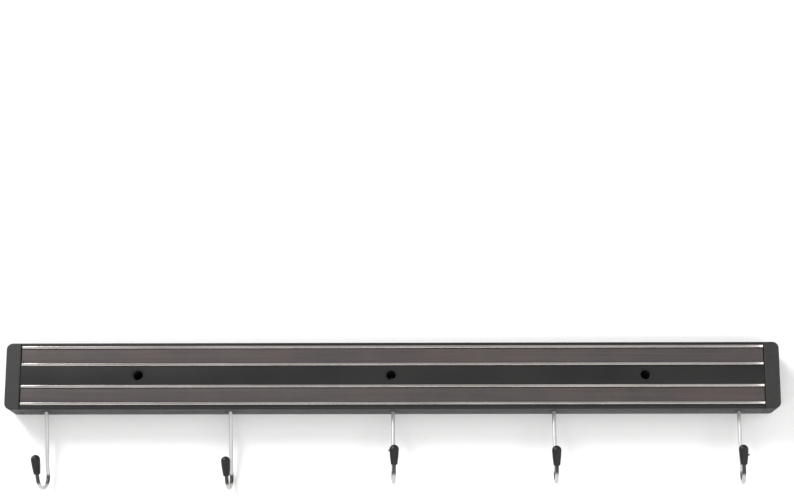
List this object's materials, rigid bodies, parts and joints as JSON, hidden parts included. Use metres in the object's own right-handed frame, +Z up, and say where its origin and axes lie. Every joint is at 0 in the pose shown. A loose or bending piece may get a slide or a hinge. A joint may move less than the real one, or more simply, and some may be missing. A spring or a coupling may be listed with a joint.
{
  "type": "magnetic knife rack",
  "caption": "Long wall-mounted magnetic bar for knives, with two magnet channels, moulded end caps and small swivelling wire hooks hanging under it.",
  "frame": {"origin": "centre of the middle screw hole, in the plane of the wall", "axes": "+X along the rack to the right as seen from the front, +Y into the wall, +Z up; the front faces -Y"},
  "size_m": [0.6, 0.0431, 0.1135],
  "materials": {
    "profile_black": "satin black, smooth",
    "plate_black": "matt black",
    "cap_black": "matt black, finely grained",
    "pole_steel": "ground steel edge",
    "magnet": "matt grey-brown ferrite",
    "sleeve_black": "blackened steel",
    "screw_steel": "zinc plated",
    "collar_black": "matt black",
    "wire_chrome": "bright chrome",
    "tip_black": "semi-gloss black"
  },
  "bodies": {
    "rack": {"rail_upper": "profile_black", "rail_lower": "profile_black", "centre_band": "profile_black", "back_plate": "plate_black", "end_cap_left": "cap_black", "end_cap_right": "cap_black", "pole_bar_1": "pole_steel", "pole_bar_2": "pole_steel", "pole_bar_3": "pole_steel", "pole_bar_4": "pole_steel", "magnet_strip_upper": "magnet", "magnet_strip_lower": "magnet", "screw_sleeve_left": "sleeve_black", "screw_sleeve_centre": "sleeve_black", "screw_sleeve_right": "sleeve_black", "cap_screw_1": "screw_steel", "cap_screw_2": "screw_steel", "cap_screw_3": "screw_steel", "cap_screw_4": "screw_steel"},
    "collar_1": {"hook_collar_1": "collar_black", "hook_pin_1": "screw_steel"},
    "hook_1": {"hook_wire_1": "wire_chrome", "hook_tip_1": "tip_black"},
    "collar_2": {"hook_collar_2": "collar_black", "hook_pin_2": "screw_steel"},
    "hook_2": {"hook_wire_2": "wire_chrome", "hook_tip_2": "tip_black"},
    "collar_3": {"hook_collar_3": "collar_black", "hook_pin_3": "screw_steel"},
    "hook_3": {"hook_wire_3": "wire_chrome", "hook_tip_3": "tip_black"},
    "collar_4": {"hook_collar_4": "collar_black", "hook_pin_4": "screw_steel"},
    "hook_4": {"hook_wire_4": "wire_chrome", "hook_tip_4": "tip_black"},
    "collar_5": {"hook_collar_5": "collar_black", "hook_pin_5": "screw_steel"},
    "hook_5": {"hook_wire_5": "wire_chrome", "hook_tip_5": "tip_black"}
  },
  "joints": [
    {"name": "swivel_1", "type": "hinge", "parent": "rack", "child": "collar_1", "pos_m": [-0.2698, -0.0126, -0.0225], "axis": [0, 0, 1], "range_deg": [-77, 103]},
    {"name": "swing_1", "type": "hinge", "parent": "collar_1", "child": "hook_1", "pos_m": [-0.2698, -0.0126, -0.0225], "axis": [-0.9744, 0.225, 0], "range_deg": [-2.5, 19.5]},
    {"name": "swivel_2", "type": "hinge", "parent": "rack", "child": "collar_2", "pos_m": [-0.1257, -0.0126, -0.0225], "axis": [0, 0, 1], "range_deg": [-84.5, 95.5]},
    {"name": "swing_2", "type": "hinge", "parent": "collar_2", "child": "hook_2", "pos_m": [-0.1257, -0.0126, -0.0225], "axis": [-0.9954, 0.0958, 0], "range_deg": [-0.5, 21.5]},
    {"name": "swivel_3", "type": "hinge", "parent": "rack", "child": "collar_3", "pos_m": [0.0013, -0.0126, -0.0225], "axis": [0, 0, 1], "range_deg": [-93, 87]},
    {"name": "swing_3", "type": "hinge", "parent": "collar_3", "child": "hook_3", "pos_m": [0.0013, -0.0126, -0.0225], "axis": [-0.9986, -0.0523, 0], "range_deg": [-18.8, 3.2]},
    {"name": "swivel_4", "type": "hinge", "parent": "rack", "child": "collar_4", "pos_m": [0.1263, -0.0126, -0.0225], "axis": [0, 0, 1], "range_deg": [-89, 91]},
    {"name": "swing_4", "type": "hinge", "parent": "collar_4", "child": "hook_4", "pos_m": [0.1263, -0.0126, -0.0225], "axis": [-0.9998, 0.0175, 0], "range_deg": [-19.4, 2.6]},
    {"name": "swivel_5", "type": "hinge", "parent": "rack", "child": "collar_5", "pos_m": [0.2696, -0.0126, -0.0225], "axis": [0, 0, 1], "range_deg": [-84.5, 95.5]},
    {"name": "swing_5", "type": "hinge", "parent": "collar_5", "child": "hook_5", "pos_m": [0.2696, -0.0126, -0.0225], "axis": [-0.9954, 0.0958, 0], "range_deg": [-18.2, 3.8]}
  ]
}
